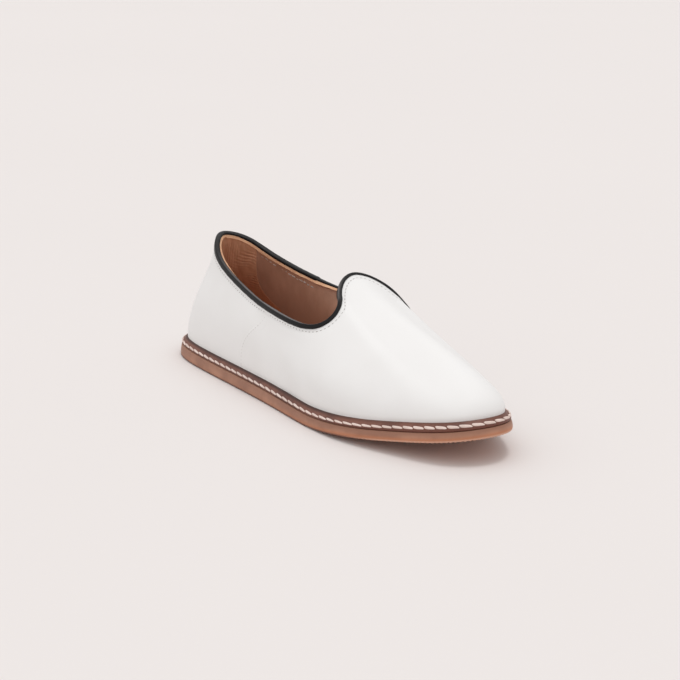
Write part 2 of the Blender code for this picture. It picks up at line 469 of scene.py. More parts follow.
def tone(red: int, green: int, blue: int) -> Colour:
    """A screen colour, 0 to 255, as light."""
    shares = [value / 255 for value in (red, green, blue)]
    light = [s / 12.92 if s <= 0.04045 else ((s + 0.055) / 1.055) ** 2.4 for s in shares]
    return (*light, 1.0)


class Socket:
    """A node's output. Arithmetic on it adds Math nodes."""

    def __init__(self, graph: "Graph", output: bpy.types.NodeSocket) -> None:
        """Wrap an output of a graph's node."""
        self.graph = graph
        self.output = output

    def maths(self, operation: str, *values: Any) -> "Socket":
        """The result of a Math node on these values."""
        return self.graph.node("ShaderNodeMath", {"operation": operation}, dict(enumerate(values)))

    def __add__(self, other: Any) -> "Socket":
        """self + other"""
        return self.maths("ADD", self, other)

    def __sub__(self, other: Any) -> "Socket":
        """self - other"""
        return self.maths("SUBTRACT", self, other)

    def __rsub__(self, other: Any) -> "Socket":
        """other - self"""
        return self.maths("SUBTRACT", other, self)

    def __mul__(self, other: Any) -> "Socket":
        """self * other"""
        return self.maths("MULTIPLY", self, other)

    __radd__ = __add__
    __rmul__ = __mul__

    def __abs__(self) -> "Socket":
        """abs(self)"""
        return self.maths("ABSOLUTE", self)

    def step(self, low: float, high: float) -> "Socket":
        """0 at low, 1 at high and an S-curve between them; low may be the larger."""
        inputs = {"Value": self, "From Min": low, "From Max": high}
        return self.graph.node("ShaderNodeMapRange", {"interpolation_type": "SMOOTHSTEP"}, inputs)

    def line(self, centre: float, half_width: float) -> "Socket":
        """A soft line: 1 where the value is at centre, 0 a half width away."""
        return abs(self - centre).step(half_width, 0.0)


class Graph:
    """The node tree of one material."""

    def __init__(self, material: bpy.types.Material) -> None:
        """Take over a material's tree."""
        material.use_nodes = True
        self.tree = material.node_tree
        self.shader = self.tree.nodes["Principled BSDF"]

    def node(
        self,
        kind: str,
        settings: dict[str, Any] | None = None,
        inputs: dict[int | str, Any] | None = None,
        output: int | str = 0,
    ) -> Socket:
        """Add a node.

        Args:
            kind: the node's type.
            settings: its own settings, which are set first.
            inputs: values or links of its sockets.
            output: which output to return.

        Returns:
            That output.
        """
        made = self.tree.nodes.new(kind)
        for name, value in (settings or {}).items():
            setattr(made, name, value)
        for name, value in (inputs or {}).items():
            self.feed(made.inputs[name], value)
        return Socket(self, made.outputs[output])

    def feed(self, socket: bpy.types.NodeSocket, value: Any) -> None:
        """Set a socket to a value, or link it."""
        if isinstance(value, Socket):
            self.tree.links.new(value.output, socket)
        else:
            socket.default_value = value

    def finish(self, **sockets: Any) -> None:
        """Set or link the shader's own sockets; an underscore stands for a space."""
        for name, value in sockets.items():
            self.feed(self.shader.inputs[name.replace("_", " ")], value)

    def place(self, stretch: Triple = (1.0, 1.0, 1.0)) -> Socket:
        """The piece's own coordinates in millimetres, divided by a stretch along each axis."""
        own = self.node("ShaderNodeTexCoord", output="Object")
        scale = Vector([1 / (MM * s) for s in stretch])
        return self.node("ShaderNodeMapping", None, {"Vector": own, "Scale": scale})

    def axis(self, place: Socket, name: str) -> Socket:
        """One coordinate of a place: X, Y or Z."""
        return self.node("ShaderNodeSeparateXYZ", None, {0: place}, output=name)

    def noise(self, place: Socket, size: float, detail: float) -> Socket:
        """Noise from 0 to 1 with features of about a size in millimetres."""
        return self.node("ShaderNodeTexNoise", None, {"Vector": place, "Scale": 1 / size, "Detail": detail})

    def cells(self, place: Socket, size: float) -> Socket:
        """Distance to the edge of irregular cells of a size in millimetres, as a share of it."""
        settings = {"feature": "DISTANCE_TO_EDGE"}
        return self.node("ShaderNodeTexVoronoi", settings, {"Vector": place, "Scale": 1 / size})

    def measure(self, name: str) -> Socket:
        """A value that the mesh carries at each point."""
        return self.node("ShaderNodeAttribute", {"attribute_name": name}, output="Fac")

    def mix(self, share: Socket, first: Any, second: Any) -> Socket:
        """A colour between two others."""
        return self.node("ShaderNodeMix", {"data_type": "RGBA"}, {0: share, 6: first, 7: second}, output=2)

    def relief(self, height: Socket) -> Socket:
        """A normal from a height in millimetres."""
        return self.node("ShaderNodeBump", None, {"Strength": 1.0, "Distance": MM, "Height": height})


@dataclass(frozen=True)
class Finish:
    """What every finish has: a name, two colours that it varies between, and its gloss."""

    name: str
    colour: Colour
    shade: Colour
    roughness: float = 0.5
    specular: float = 0.5

    def make(self) -> bpy.types.Material:
        """The material, with its nodes."""
        material = bpy.data.materials.new(self.name)
        graph = Graph(material)
        graph.finish(Specular_IOR_Level=self.specular)
        self.dress(graph)
        return material

    def dress(self, graph: Graph) -> None:
        """Lay out the nodes; each kind of finish has its own."""
        raise NotImplementedError

    def rough(self, noise: Socket, swing: float) -> Socket:
        """The roughness, which swings with a noise."""
        return self.roughness + (noise - 0.5) * swing


@dataclass(frozen=True)
class SmoothLeather(Finish):
    """Painted calf leather with a fine grain, soft grooves at its seams, and painted shade in them and just
    above the welt.
    """

    grain: float = 0.75
    grain_depth: float = 0.012
    cloud: float = 38.0
    collar_half: float = 0.75  # half widths of the grooves under the stitches, and of the painted shade in them
    seam_half: float = 0.5
    groove: float = 0.15
    foot: float = 3.5  # height of the painted shade above the welt

    def dress(self, graph: Graph) -> None:
        """Fine cells for the grain, a slow change of colour, soft grooves under the stitch rows with painted
        shade in them, and painted shade just above the welt.

        Args:
            graph: the nodes of its material.
        """
        place = graph.place()
        cells = graph.cells(place, self.grain).step(0.0, 0.35)
        slow = graph.noise(place, self.cloud, 2.0)
        fine = graph.noise(place, 0.3, 2.0)
        # painted shade along the collar's stitch groove, along the side seams and at the foot just above the
        # welt
        collar = (graph.measure("below") + graph.measure("deeper")).line(COLLAR_ROW, self.collar_half)
        seam = graph.measure("seam").line(SEAM_ROW, self.seam_half)
        foot = graph.measure("rise").step(self.foot, 0.0)
        # the slow random tone and the painted shade together set how much of the second colour shows
        tone_and_painted_shade = (slow.step(0.35, 0.7) * 0.5 + collar * 0.5 + seam * 0.3 + foot * 0.3).step(0.0, 1.6)
        relief = cells * self.grain_depth + fine * 0.006 - (collar + seam * 0.5) * self.groove
        graph.finish(
            Base_Color=graph.mix(tone_and_painted_shade, self.colour, self.shade),
            Roughness=self.rough(slow, 0.12) - cells * 0.05,
            Normal=graph.relief(relief),
        )


@dataclass(frozen=True)
class StripLeather(Finish):
    """Narrow strip of soft leather: a tight grain, with a painted highlight along its fold, where the grain
    is also smoother and glossier.
    """

    grain: float = 0.5
    grain_depth: float = 0.03
    cloud: float = 9.0

    def dress(self, graph: Graph) -> None:
        """Tight grain, with a painted highlight along the fold, which is smoother and glossier there.

        Args:
            graph: the nodes of its material.
        """
        place = graph.place()
        cells = graph.cells(place, self.grain).step(0.0, 0.4)
        slow = graph.noise(place, self.cloud, 3.0)
        # painted highlight: paler along the crest of the fold, a little uneven
        painted_highlight = graph.measure("fold") * (0.7 + 0.3 * slow.step(0.3, 0.7))
        graph.finish(
            Base_Color=graph.mix(painted_highlight, self.colour, self.shade),
            Roughness=self.rough(slow, 0.16) - painted_highlight * 0.08,
            Normal=graph.relief(cells * self.grain_depth * (1 - painted_highlight * 0.6)),
        )


@dataclass(frozen=True)
class WeltLeather(Finish):
    """Stained leather strip with painted shade in its corners, at the upper and at the lower edge, and paler
    on the shoulder between them.
    """

    # colour of the painted shade in the corners
    painted_shade: Colour = tone(66, 33, 25)
    red: Colour = tone(108, 58, 42)
    cloud: float = 11.0
    grain: float = 0.8
    front: Pair = (20.0, 90.0)  # along the shoe, from its middle
    inner: Pair = (2.3, 3.7)  # inset where the painted shade gathers in the crevice at the upper
    side: Pair = (2.6, 1.8)  # height of the redder side
    lower: Pair = (0.9, 0.1)  # height of the painted shade at the lower edge

    def dress(self, graph: Graph) -> None:
        """Painted shade that gathers at the upper and at the lower edge, redder in front, over a coarse
        grain.

        Args:
            graph: the nodes of its material.
        """
        place = graph.place()
        front = graph.axis(place, "X").step(*self.front)
        slow = graph.noise(place, self.cloud, 4.0)
        grain = graph.noise(place, self.grain, 3.0)
        climb = graph.measure("climb")
        stain = graph.mix(slow.step(0.3, 0.7), self.colour, self.shade)
        stain = graph.mix(climb.step(*self.side) * front * 0.8, stain, self.red)
        # painted shade in the crevices: at the upper, less of it in front, and at the lower edge on the
        # outsole
        painted_shade_mask = graph.measure("inset").step(*self.inner) * (0.9 - 0.6 * front) + climb.step(*self.lower) * 0.35
        graph.finish(
            Base_Color=graph.mix(painted_shade_mask.step(0.0, 1.0), stain, self.painted_shade),
            Roughness=self.rough(grain, 0.2),
            Normal=graph.relief(grain * 0.05 + slow * 0.08),
        )


@dataclass(frozen=True)
class SoleRubber(Finish):
    """Tan sole rubber: a buffed side, darker at its upper edge and warmer at the foot of it, with painted
    contact shadow along its lower edge behind and painted bounce light on it in front.
    """

    warm: Colour = tone(196, 120, 78)
    # painted contact shadow on the lower edge behind the toe, and painted bounce light on it at the toe
    painted_light: Colour = tone(108, 70, 58)
    painted_bounce_light: Colour = tone(212, 168, 144)
    cloud: float = 14.0
    buffing: Triple = (6.0, 6.0, 0.5)  # the marks' lengths along each axis
    front: Pair = (-30.0, 70.0)  # along the shoe, from its middle
    tip: Pair = (50.0, 85.0)
    low: Pair = (3.6, 0.8)  # heights on the side
    high: Pair = (2.4, 5.2)
    # height of the lower edge that carries the painted contact shadow and the painted bounce light
    edge: Pair = (1.5, 0.8)

    def dress(self, graph: Graph) -> None:
        """Fine buffing marks along the side, mottled colour, painted contact shadow along the lower edge
        behind and painted bounce light on it in front.

        Args:
            graph: the nodes of its material.
        """
        place = graph.place()
        station = graph.axis(place, "X")
        front, tip = station.step(*self.front), station.step(*self.tip)
        mottle = graph.noise(place, self.cloud, 4.0)
        buffed = graph.noise(graph.place(self.buffing), 1.0, 3.0)
        height = graph.measure("climb")
        low = height.step(*self.low) * (0.15 + 0.6 * front)
        high = height.step(*self.high) * (0.5 + 0.5 * front)
        # lower edge: painted contact shadow behind the toe, painted bounce light at the toe
        edge = height.step(*self.edge) * 0.8
        body = graph.mix(mottle.step(0.3, 0.7), self.colour, self.shade)
        side = graph.mix(high, graph.mix(low, body, self.warm), self.shade)
        side = graph.mix(edge * tip, side, self.painted_bounce_light)
        graph.finish(
            Base_Color=graph.mix(edge * (1 - tip), side, self.painted_light),
            Roughness=self.rough(buffed, 0.18),
            Normal=graph.relief(buffed * 0.05 + mottle * 0.05),
        )


@dataclass(frozen=True)
class LiningLeather(Finish):
    """Unpainted lining leather with streaks that run up the wall."""

    streak: Triple = (1.0, 1.0, 7.0)
    streak_size: float = 2.2
    cloud: float = 16.0
    pore: float = 0.45
    # colour of the painted shade deeper in the shoe
    painted_shade: Colour = tone(150, 92, 62)
    painted_shade_from: float = 44.0  # millimetres above the floor where the painted shade starts; it is full at the next height
    painted_shade_to: float = 18.0

    def dress(self, graph: Graph) -> None:
        """Streaks, cloudy colour and open pores, with painted shade that darkens it towards the floor.

        Args:
            graph: the nodes of its material.
        """
        place = graph.place()
        streaks = graph.noise(graph.place(self.streak), self.streak_size, 3.0)
        cloud = graph.noise(place, self.cloud, 3.0)
        pores = graph.noise(place, self.pore, 2.0)
        tint = (streaks * 0.6 + cloud * 0.4).step(0.34, 0.66)
        # painted shade deeper in the shoe
        depth = graph.axis(place, "Z").step(self.painted_shade_from, self.painted_shade_to)
        graph.finish(
            Base_Color=graph.mix(depth, graph.mix(tint, self.colour, self.shade), self.painted_shade),
            Roughness=self.rough(pores, 0.2),
            Normal=graph.relief(pores * 0.05 + streaks * 0.06),
        )


@dataclass(frozen=True)
class Fibres(Finish):
    """Bare fibres, as on waxed thread or a cut edge, with a slow change of colour."""

    fibre: float = 0.25
    fibre_detail: float = 2.0
    cloud: float = 7.0
    cloud_detail: float = 1.0
    cloud_share: float = 0.6  # of the change of colour; the fibres make the rest
    depth: float = 0.06

    def dress(self, graph: Graph) -> None:
        """Fine fibres over a patchy colour.

        Args:
            graph: the nodes of its material.
        """
        place = graph.place()
        fibres = graph.noise(place, self.fibre, self.fibre_detail)
        slow = graph.noise(place, self.cloud, self.cloud_detail)
        tint = (slow * self.cloud_share + fibres * (1 - self.cloud_share)).step(0.35, 0.65)
        graph.finish(
            Base_Color=graph.mix(tint, self.colour, self.shade),
            Roughness=self.rough(fibres, 0.2),
            Normal=graph.relief(fibres * self.depth),
        )


@dataclass(frozen=True)
class Paper(Finish):
    """Seamless pale backdrop paper."""

    cloud: float = 400.0

    def dress(self, graph: Graph) -> None:
        """A barely uneven tone."""
        cloud = graph.noise(graph.place(), self.cloud, 2.0)
        graph.finish(Base_Color=graph.mix(cloud, self.colour, self.shade), Roughness=self.rough(cloud, 0.1))


# the white leather's second colour serves both its random tone and its painted shade
WHITE_LEATHER = SmoothLeather("white_leather", tone(241, 240, 239), tone(231, 229, 227), 0.55, specular=0.3)
# the black leather's second colour is the painted highlight on its fold
BLACK_LEATHER = StripLeather("black_leather", tone(20, 19, 20), tone(112, 107, 107), 0.36, specular=0.2)
WELT_LEATHER = WeltLeather("welt_leather", tone(124, 79, 64), tone(100, 60, 48), 0.5)
TAN_RUBBER = SoleRubber("tan_rubber", tone(182, 133, 108), tone(152, 107, 86), 0.55)
# the linings and the insole carry painted shade deeper in the shoe
HEEL_LINING = LiningLeather(
    "heel_lining", tone(234, 179, 144), tone(208, 152, 119), 0.55, painted_shade=tone(176, 110, 76), painted_shade_from=68.0
)
FRONT_LINING = LiningLeather(
    "front_lining", tone(200, 153, 129), tone(184, 139, 116), streak=(3.0, 3.0, 6.0), painted_shade=tone(160, 118, 97)
)
INSOLE_LEATHER = LiningLeather(
    "insole_leather", tone(184, 137, 111), tone(168, 122, 97),
    streak=(6.0, 3.0, 3.0), painted_shade=tone(176, 129, 103),
)
PALE_EDGE = Fibres(
    "cut_edge", tone(240, 192, 152), tone(224, 168, 130), 0.6,
    fibre=0.35, fibre_detail=3.0, cloud=6.0, cloud_detail=2.0, cloud_share=0.7, depth=0.12,
)
CREAM_THREAD = Fibres("cream_thread", tone(240, 220, 211), tone(216, 194, 184), 0.6)
GREY_THREAD = Fibres("grey_thread", tone(200, 196, 194), tone(176, 172, 170), 0.6)
WHITE_THREAD = Fibres("white_thread", tone(228, 225, 223), tone(212, 208, 206), 0.6)
LINING_THREAD = Fibres("lining_thread", tone(228, 218, 211), tone(196, 180, 170), 0.6)
PALE_PAPER = Paper("pale_paper", tone(233, 228, 226), tone(231, 226, 224), 0.9, specular=0.2)


def across(ring: Array, count: int) -> Array:
    """Rows of points from the lateral side of a ring to its medial side.

    Args:
        ring: points once round, starting at the heel, with equal numbers on both sides.
        count: points in each row.

    Returns:
        A grid: places along the shoe, by places across it.
    """
    half = len(ring) // 2
    lateral, medial = ring[: half + 1], np.roll(ring, -half, axis=0)[: half + 1][::-1]
    share = np.linspace(0.0, 1.0, count)[:, None]
    return lateral[:, None] * (1 - share) + medial[:, None] * share


def from_rim(grid: Array) -> Array:
    """Distance of a grid's points from the nearer end of their row across the shoe."""
    width = np.linalg.norm(grid[:, -1] - grid[:, 0], axis=-1)[:, None]
    share = np.linspace(0.0, 1.0, grid.shape[1])
    return np.minimum(share, 1 - share) * width


@dataclass
class Outsole:
    """Flat rubber sole with a flared side, a fine milled lower edge and a ribbed tread."""

    columns: int = 600  # on each side
    tooth_pitch: float = 2.4
    tooth_depth: float = 0.4
    rib_pitch: float = 4.2
    rib_depth: float = 0.7
    rib_edge: Pair = (0.35, 0.65)  # share of a rib's wave where its wall stands
    tread_rim: Pair = (4.5, 6.0)  # distance from the edge where the ribs end
    tread_across: int = 44
    treads: tuple[Stretch, ...] = (Stretch(10.0, 12.0, 80.0, 82.0), Stretch(126.0, 128.0, 246.0, 248.0))
    plain_climb: float = 1.6  # the underside has the colour of the side at this height
    top_climb: float = 6.0
    section: tuple[Corner, ...] = (
        Corner(3.4, 0.0, 0.0),
        Corner(1.0, 0.0, 0.0),
        Corner(0.55, 0.0, 0.05),
        Corner(0.25, 0.0, 0.2),
        Corner(0.06, 0.0, 0.5),
        Corner(0.0, 0.0, 1.1),
        Corner(0.06, 0.3, 1.0),
        Corner(0.22, 0.5, 0.6),
        Corner(0.42, 0.75, 0.1),
        Corner(0.62, 1.0, -0.7),
        Corner(0.78, 1.0, -0.28),
        Corner(1.05, 1.0, -0.06),
        Corner(1.6, 1.0, 0.0),
        Corner(4.0, 1.0, 0.0),
    )
    notched: tuple[float, ...] = (0.0, 1.0, 1.0, 0.75, 0.3, 0.05)  # share of a tooth at the first corners

    def build(self) -> None:
        """Make the outsole."""
        ring = LAST.even_ring(self.columns)
        arc = arc_length(LAST.outline(np.append(ring, ROUND)))
        teeth = round(arc[-1] / self.tooth_pitch)
        notch = self.tooth_depth * (0.5 - 0.5 * np.cos(TURN * teeth * arc[:-1] / arc[-1])) ** 2
        grid = np.stack([LAST.sole_point(ring, corner, Solid.OUTSOLE) for corner in self.section])
        for row, share in zip(grid, self.notched):
            row[:, 2] += share * notch
        skin = Skin("outsole_rubber")
        skin.add(grid, columns_close=True, climb=grid[..., 2] - LAST.lift(grid[..., 0]))
        skin.add(self.tread(across(grid[0], self.tread_across)), climb=self.plain_climb)
        skin.add(across(grid[-1], 2), climb=self.top_climb)
        skin.build(TAN_RUBBER.make(), Solid.OUTSOLE)

    def tread(self, grid: Array) -> Array:
        """Cut grooves into the underside.

        Args:
            grid: points along and across the flat underside.

        Returns:
            The points, lifted where a groove is.
        """
        station = grid[..., 0]
        rim = smooth_step(*self.tread_rim, from_rim(grid))
        zones = sum(tread.at(station) for tread in self.treads)
        groove = smooth_step(*self.rib_edge, 0.5 - 0.5 * np.cos(TURN * station / self.rib_pitch))
        lifted = grid.copy()
        lifted[..., 2] = LAST.lift(station) + LAST.arch(grid) + self.rib_depth * rim * zones * groove
        return lifted


@dataclass(frozen=True)
class Rail:
    """Places along a line on the shoe, one for each stitch."""

    points: Array
    along: Array
    out: Array
    stout: Array  # share of the full thickness of the thread


@dataclass(frozen=True)
class StitchRow:
    """A row of stitches of one thread, joined in one mesh."""

    name: str
    finish: Fibres
    solid: Solid
    pitch: float
    length: float
    width: float
    height: float
    sink: float = 0.12  # how far the ends go down
    slant: float = 0.0  # degrees, turned on the surface
    shear: float = 0.0  # how far the ends are cut aslant, as a share of the width
    plies: int = 3
    twist: float = 3.0  # turns of the plies in radians, from the middle to an end
    ply_depth: float = 0.08
    blunt: float = 2.6  # how square the ends are
    pinch: float = 0.985  # how far the ends are closed
    taper: float = 0.0  # share by which a stitch is slimmer at its forward end
    pull: float = 0.0  # how much longer a slim stitch is drawn
    uneven: float = 0.1  # share by which lengths and heights differ
    stray: float = 0.0  # how far a stitch may lie beside its line
    seed: int = 1
    sections: int = 9
    corners: int = 8

    def rail(self, line: Line, out: Line, start: float, stop: float, thin: Line = np.zeros_like) -> Rail:
        """Places a pitch apart, which changes a little to fit a whole number of them.

        Args:
            line: points of the line at an array of its parameter.
            out: directions out of the surface there.
            start: the parameter at the line's beginning.
            stop: the parameter at its end.
            thin: share by which the thread is thinner at an array of the parameter.

        Returns:
            The places, half a pitch from the line's ends.
        """
        length = arc_length(line(np.linspace(start, stop, 2001)))[-1]
        count = max(2, round(length / self.pitch))
        places = even_places(line, start, stop, 2 * count + 1)[1::2]
        step = 0.25 * (stop - start) / count
        along = unit(line(places + step) - line(places - step))
        return Rail(line(places), along, out(places), 1 - thin(places))

    def build(self, *rails: Rail) -> None:
        """Lay a stitch at every place of the rails.

        Args:
            rails: the lines of places, in the order in which they are sewn.
        """
        draw = np.random.default_rng(self.seed)
        u = np.linspace(-1.0, 1.0, self.sections)[None, :]
        angle = TURN * np.arange(self.corners)[:, None] / self.corners
        plump = (1 - np.abs(u) ** self.blunt * self.pinch) ** 0.5 * (1 - self.taper * (u + 1) / 2)
        radius = plump * (1 + self.ply_depth * np.cos(self.plies * angle + self.twist * u))
        turn = math.radians(self.slant)
        skin = Skin(self.name)
        for rail in rails:
            for point, along, out, stout in zip(rail.points, rail.along, rail.out, rail.stout):
                size = 1 + self.uneven * draw.uniform(-1, 1)
                drop = self.uneven * self.height * draw.uniform(0, 1)
                astray = self.stray * draw.uniform(-1, 1)
                side = np.cross(out, along)
                ahead = along * math.cos(turn) + side * math.sin(turn)
                beside = side * math.cos(turn) - along * math.sin(turn)
                wide = radius * np.cos(angle) * self.width / 2 * stout
                rise = radius * np.sin(angle) * self.height * stout - self.sink * u**2 - drop
                run = u * self.length / 2 * size / stout**self.pull - self.shear * wide
                places = run[..., None] * ahead + (wide + astray)[..., None] * beside + rise[..., None] * out
                skin.add(point + places, rows_close=True, end_caps=True)
        skin.build(self.finish.make(), self.solid, replaces=False)


@dataclass
class Welt:
    """Leather strip between the upper and the outsole, sewn down with a thick thread along its shoulder."""

    thread: StitchRow = StitchRow(
        "welt_stitches", CREAM_THREAD, Solid.WELT, pitch=6.25, length=6.1, width=1.6, height=0.52, sink=0.2,
        slant=-4.0, shear=0.8, plies=2, twist=1.7, ply_depth=0.1, blunt=7.0, taper=0.2, pull=0.2, uneven=0.05,
        sections=21, corners=16,
    )
    columns_a_stitch: int = 10
    dent: float = 0.28
    stitch: Corner = Corner(1.55, 0.585, 0.0)
    heel_stitch: Corner = Corner(1.2, 0.44, 0.0)
    heel_thin: float = 0.25
    toe_from: Pair = (195.0, 250.0)  # stations between which the stitch line climbs
    shoulder: float = 0.95  # how much the shoulder faces up
    section: tuple[Corner, ...] = (
        Corner(1.5, 0.0, 0.06),
        Corner(1.15, 0.06, 0.05),
        Corner(0.95, 0.18, 0.0),
        Corner(0.92, 0.3, 0.0),
        Corner(1.0, 0.41, 0.0),
        Corner(1.2, 0.49, 0.0),
        Corner(1.5, 0.55, 0.0),
        Corner(1.9, 0.61, 0.0),
        Corner(2.4, 0.70, 0.0),
        Corner(2.9, 0.80, 0.0),
        Corner(3.3, 0.90, 0.05),
        Corner(3.7, 0.98, 0.1),
        Corner(4.05, 1.0, 0.2),
        Corner(4.2, 1.0, 0.12),
        Corner(4.1, 0.85, 0.0),
        Corner(3.95, 0.0, 0.06),
        Corner(2.6, 0.0, 0.06),
    )
    pulled: tuple[float, ...] = (0.0, 0.0, 0.1, 0.3, 0.6, 0.9, 1.0, 0.8, 0.35, 0.1)  # at the first corners

    def line(self, t: Array) -> Array:
        """The stitch line, which climbs a little at the toe."""
        heel = LAST.sole_point(t, self.heel_stitch, Solid.WELT)
        return heel + self.front(t)[..., None] * (LAST.sole_point(t, self.stitch, Solid.WELT) - heel)

    def front(self, t: Array) -> Array:
        """0 from the heel to the ball and 1 at the toe."""
        return smooth_step(*self.toe_from, LAST.outline(t)[..., 0])

    def out(self, t: Array) -> Array:
        """Direction out of the shoulder, half outward and half up."""
        return unit(LAST.outward(t) + self.shoulder * UP)

    def thin(self, t: Array) -> Array:
        """Share by which the thread is thinner behind the toe."""
        return self.heel_thin * (1 - self.front(t))

    def build(self) -> None:
        """Make the strip, dented at the stitch holes, and its stitches."""
        rail = self.thread.rail(self.line, self.out, 0.0, ROUND, self.thin)
        count = len(rail.points) * self.columns_a_stitch
        ring = even_places(self.line, 0.0, ROUND, count + 1)[:-1]
        hole = (0.5 + 0.5 * np.cos(TURN * np.arange(count) / self.columns_a_stitch)) ** 3
        grid = np.stack([LAST.sole_point(ring, corner, Solid.WELT) for corner in self.section])
        for row, share in zip(grid, self.pulled):
            row -= (share * self.dent * hole)[:, None] * self.out(ring)
        inset = np.array([corner.inset for corner in self.section])[:, None]
        base = LAST.lift(grid[..., 0]) + LAST.level(Solid.OUTSOLE, grid[..., 0])
        skin = Skin("welt_strip")
        skin.add(grid, rows_close=True, columns_close=True, inset=inset, climb=grid[..., 2] - base)
        skin.build(WELT_LEATHER.make(), Solid.WELT)
        self.thread.build(rail)


@dataclass
class Insole:
    """Leather insole, a little hollow where the foot rests."""

    columns: int = 200
    points_across: int = 28
    hollow: float = 0.5
    hollow_from: float = 14.0  # distance from the edge where the hollow is full
    section: tuple[Corner, ...] = (
        Corner(7.05, 0.0, 0.3),
        Corner(6.45, 0.0, 0.7),
        Corner(6.45, 0.0, 2.1),
        Corner(6.65, 0.0, 2.45),
        Corner(7.15, 0.0, 2.65),
    )

    def build(self) -> None:
        """Make the insole."""
        ring = LAST.even_ring(self.columns)
        rows = [LAST.sole_point(ring, corner, Solid.WELT) for corner in self.section]
        top = across(rows[-1], self.points_across)
        top[..., 2] -= self.hollow * smooth_step(0.0, self.hollow_from, from_rim(top))
        skin = Skin("insole_leather")
        skin.add(np.stack(rows), columns_close=True)
        skin.add(top)
        skin.add(across(rows[0], 2))
        skin.build(INSOLE_LEATHER.make(), Solid.INSOLE)


class Crease(NamedTuple):
    """A soft trough from one place to another, each t and h; a negative depth makes it a ridge."""

    start: Pair
    stop: Pair
    depth: float
    width: float

    def at(self, points: Array) -> Array:
        """Depth of the trough at the points."""
        line = LAST.surface(*np.linspace(self.start, self.stop, 25).T)
        away = np.min(np.linalg.norm(points[..., None, :] - line, axis=-1), axis=-1)
        return Swell(self.depth, 0.0, self.width).at(away)


def creased(creases: Sequence[Crease], points: Array) -> Array:
    """Depth of all the creases at the points."""
    return sum((crease.at(points) for crease in creases), np.zeros(points.shape[:-1]))


MEDIAL_DROP = 1.6  # how much deeper a stitch row lies on the medial side
TONGUE_DROPS = (Swell(3.8, 6.72, 0.6), Swell(2.2, 9.2, 0.55))  # and on both sides of the tongue


def row_drop(t: Array) -> Array:
    """How much deeper than its usual distance a stitch row lies below the collar."""
    medial = np.clip(-np.sin(math.pi * t / TOE), 0, None)
    return MEDIAL_DROP * medial + sum(drop.at(t) for drop in TONGUE_DROPS)


def even_face(distance: float) -> Face:
    """A face that lies at one distance from the upper's outside."""
    return lambda ribs, h: np.full_like(h, distance)


@dataclass
class Wall:
    """A layer of the upper's wall between two faces, given by their distance from its outside."""

    name: str
    ribs: Array
    heights: Array
    outer: Face
    inner: Face
    closed: bool = False
    creases: Sequence[Crease] = ()
    tuck: float = 1.1  # thickness where the wall goes down behind the welt
    tuck_height: float = 0.3

    def skin(self) -> Skin:
        """The layer as a closed skin, with the measures that its finish reads."""
        ribs, h = np.meshgrid(self.ribs, self.heights)
        t = LAST.lean(ribs, h)
        base, normal = LAST.surface(t, h), LAST.normal(t, h)
        outside = base + (self.outer(ribs, h) - creased(self.creases, base))[..., None] * normal
        inside = base + self.inner(ribs, h)[..., None] * normal
        steps = np.linalg.norm(np.diff(base, axis=0), axis=-1)
        rise = np.vstack([np.zeros((1, ribs.shape[1])), np.cumsum(steps, axis=0)])
        measures = {
            "seam": LAST.past_seam(ribs) * SEAM_SCALE,
            "rise": rise,
            "below": rise[-1] - rise,
            "deeper": -row_drop(t),
        }
        outer_end, inner_end = (
            LAST.sole_point(self.ribs, Corner(LAST.feather.inset + inset, 0.0, self.tuck_height), Solid.WELT)
            for inset in (0.0, self.tuck)
        )
        grid = np.concatenate([outer_end[None], outside, inside[::-1], inner_end[None]])
        measures = {name: np.concatenate([v[:1], v, v[::-1], v[:1]]) for name, v in measures.items()}
        made = Skin(self.name)
        made.add(grid, rows_close=True, columns_close=self.closed, end_caps=not self.closed, **measures)
        return made


